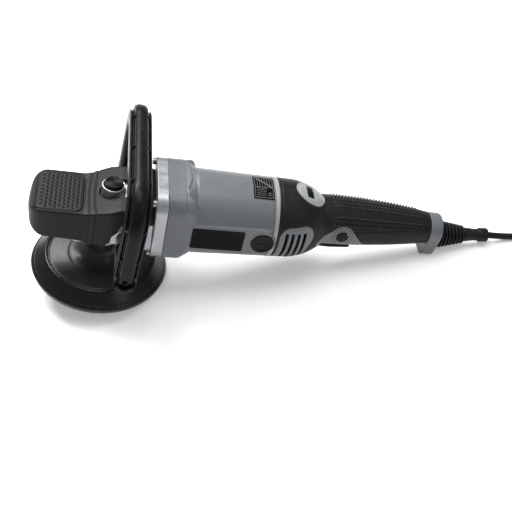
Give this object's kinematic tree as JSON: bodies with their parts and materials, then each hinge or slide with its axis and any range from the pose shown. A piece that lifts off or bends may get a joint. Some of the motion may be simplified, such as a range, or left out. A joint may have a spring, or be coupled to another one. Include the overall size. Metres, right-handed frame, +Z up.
{
  "type": "dual action polisher",
  "caption": "Corded inline dual action car polisher with round backing plate, loop front handle, rubber gear head and trigger grip, laid down on its plate edge and tail foot.",
  "frame": {"origin": "on the bench under the middle of the tool's length and width, the cord left out, with the tool at rest on its plate edge and tail foot", "axes": "+X towards the cord, +Z up from the bench; the tool's own axes are these turned 13.37 degrees about Y, tail down"},
  "size_m": [0.6582, 0.255, 0.1828],
  "materials": {
    "black_rubber": "satin black elastomer",
    "black_plastic": "fine textured glass-filled nylon",
    "grey_plastic": "mid grey, fine satin",
    "light_grey_plastic": "light grey, satin",
    "cast_aluminium": "die cast, bead blasted",
    "disc_plastic": "dark grey, moulded gloss",
    "plate_urethane": "semi-gloss urethane",
    "hook_fabric": "moulded hooks",
    "steel": "machined",
    "zinc_steel": "bright zinc",
    "black_steel": "black oxide",
    "copper": "enamelled copper",
    "brass": "plain brass",
    "carbon": "pressed carbon",
    "circuit_board": "green laminate",
    "label_black": "printed film",
    "plug_black": "moulded vinyl",
    "nickel": "nickel plate"
  },
  "bodies": {
    "housing": {"spindle_bearings": "steel", "bearing_box": "cast_aluminium", "bearing_box_screws": "zinc_steel", "gear_housing": "cast_aluminium", "head_cover": "black_rubber", "spindle_lock_spring": "steel", "loop_handle": "black_plastic", "loop_handle_bolts": "black_steel", "flange_screws": "zinc_steel", "armature_bearings": "steel", "fan_baffle": "black_plastic", "stator_core": "steel", "field_coils": "copper", "motor_housing": "grey_plastic", "name_plate": "label_black", "speed_chart": "label_black", "brush_holders": "brass", "carbon_brushes": "carbon", "brush_springs": "steel", "brush_caps": "black_plastic", "collar_band": "light_grey_plastic", "handle_shell_left": "black_rubber", "handle_shell_right": "black_rubber", "vent_panels": "grey_plastic", "trigger_surrounds": "grey_plastic", "dial_bezel": "light_grey_plastic", "speed_board": "circuit_board", "switch_body": "black_plastic", "trigger_pin": "steel", "trigger_spring": "steel", "lock_spring": "steel", "handle_screws": "zinc_steel", "end_ring": "grey_plastic", "cord_boot": "black_rubber", "cord_clamp": "black_plastic", "cord_lead": "plug_black", "cord_coil": "plug_black", "cord_tail": "plug_black", "plug": "plug_black", "plug_pins": "nickel"},
    "spindle": {"drive_spindle": "black_steel", "driven_gear": "steel", "counterweight": "steel", "eccentric_bearings": "steel"},
    "plate": {"backing_disc": "disc_plastic", "backing_ring": "plate_urethane", "hook_face": "hook_fabric", "plate_spindle": "steel", "plate_screw": "zinc_steel"},
    "armature": {"armature_shaft": "steel", "armature_core": "steel", "armature_windings": "copper", "commutator": "copper", "cooling_fan": "black_plastic", "pinion": "steel"},
    "spindle_lock": {"spindle_lock_button": "black_plastic"},
    "speed_wheel": {"speed_dial": "black_plastic"},
    "trigger_paddle": {"trigger": "black_plastic"},
    "switch_lock": {"lock_button": "black_plastic"}
  },
  "joints": [
    {"name": "armature_spin", "type": "hinge", "parent": "housing", "child": "armature", "pos_m": [-0.06759, 0, 0.08848], "axis": [0.9729, 0, -0.2312], "continuous": true},
    {"name": "spindle_spin", "type": "hinge", "parent": "housing", "child": "spindle", "pos_m": [-0.17112, 0, 0.08533], "axis": [0.2312, 0, 0.9729], "continuous": true},
    {"name": "plate_spin", "type": "hinge", "parent": "spindle", "child": "plate", "pos_m": [-0.1769, 0.004, 0.061], "axis": [0.2312, 0, 0.9729], "continuous": true},
    {"name": "spindle_lock_press", "type": "slide", "parent": "housing", "child": "spindle_lock", "axis": [-0.2312, 0, -0.9729], "range_m": [0, 0.005], "stiffness_N_per_m": 400, "springref_m": -0.002, "deforming": ["spindle_lock_spring"]},
    {"name": "speed_dial_turn", "type": "hinge", "parent": "housing", "child": "speed_wheel", "pos_m": [0.04967, 0, 0.09145], "axis": [0.9729, 0, -0.2312], "range_deg": [-135, 135]},
    {"name": "trigger_squeeze", "type": "hinge", "parent": "housing", "child": "trigger_paddle", "pos_m": [0.05134, 0, 0.03966], "axis": [0, -1, 0], "range_deg": [0, 6], "stiffness_Nm_per_rad": 0.8, "springref_deg": -8.59, "deforming": ["trigger_spring"]},
    {"name": "switch_lock_press", "type": "slide", "parent": "housing", "child": "switch_lock", "axis": [0, 1, 0], "range_m": [0, 0.004], "stiffness_N_per_m": 300, "springref_m": -0.002, "deforming": ["lock_spring"]}
  ],
  "couplings": [
    {"joint": "spindle_spin", "follows": "armature_spin", "ratio": 0.33333}
  ]
}
